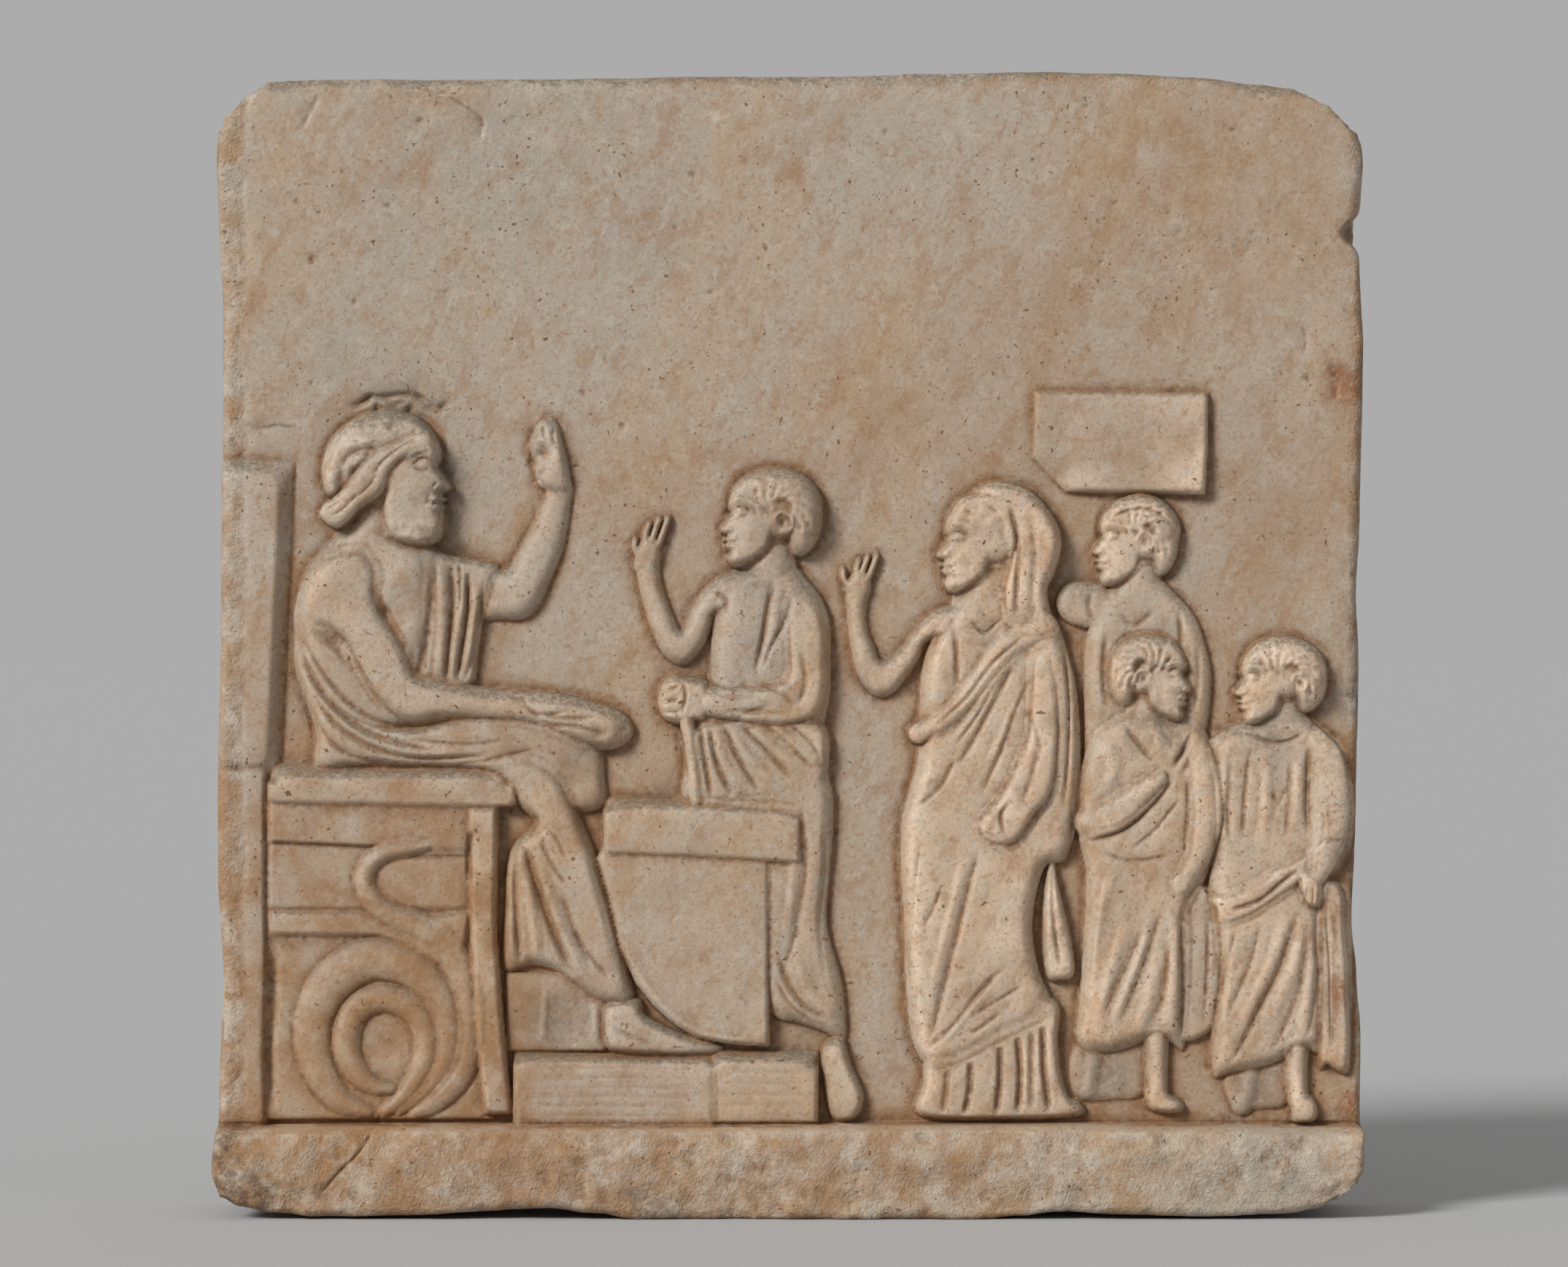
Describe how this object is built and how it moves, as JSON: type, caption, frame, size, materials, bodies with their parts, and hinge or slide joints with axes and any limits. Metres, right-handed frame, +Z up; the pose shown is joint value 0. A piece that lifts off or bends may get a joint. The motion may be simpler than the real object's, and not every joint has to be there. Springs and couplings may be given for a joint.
{
  "type": "votive relief",
  "caption": "Ancient marble votive relief: a slab with a rough foot ledge and low-relief worshippers before an enthroned bearded god, altar and coiled snake.",
  "frame": {"origin": "centre of the bounding box's underside, where the slab stands", "axes": "+X to the right seen from the carved front, the carved front faces -Y, +Z up"},
  "size_m": [0.48, 0.072, 0.478],
  "materials": {
    "marble": "weathered, hand-rubbed, with warm patina"
  },
  "bodies": {
    "root": {"marble_relief": "marble"}
  },
  "joints": []
}
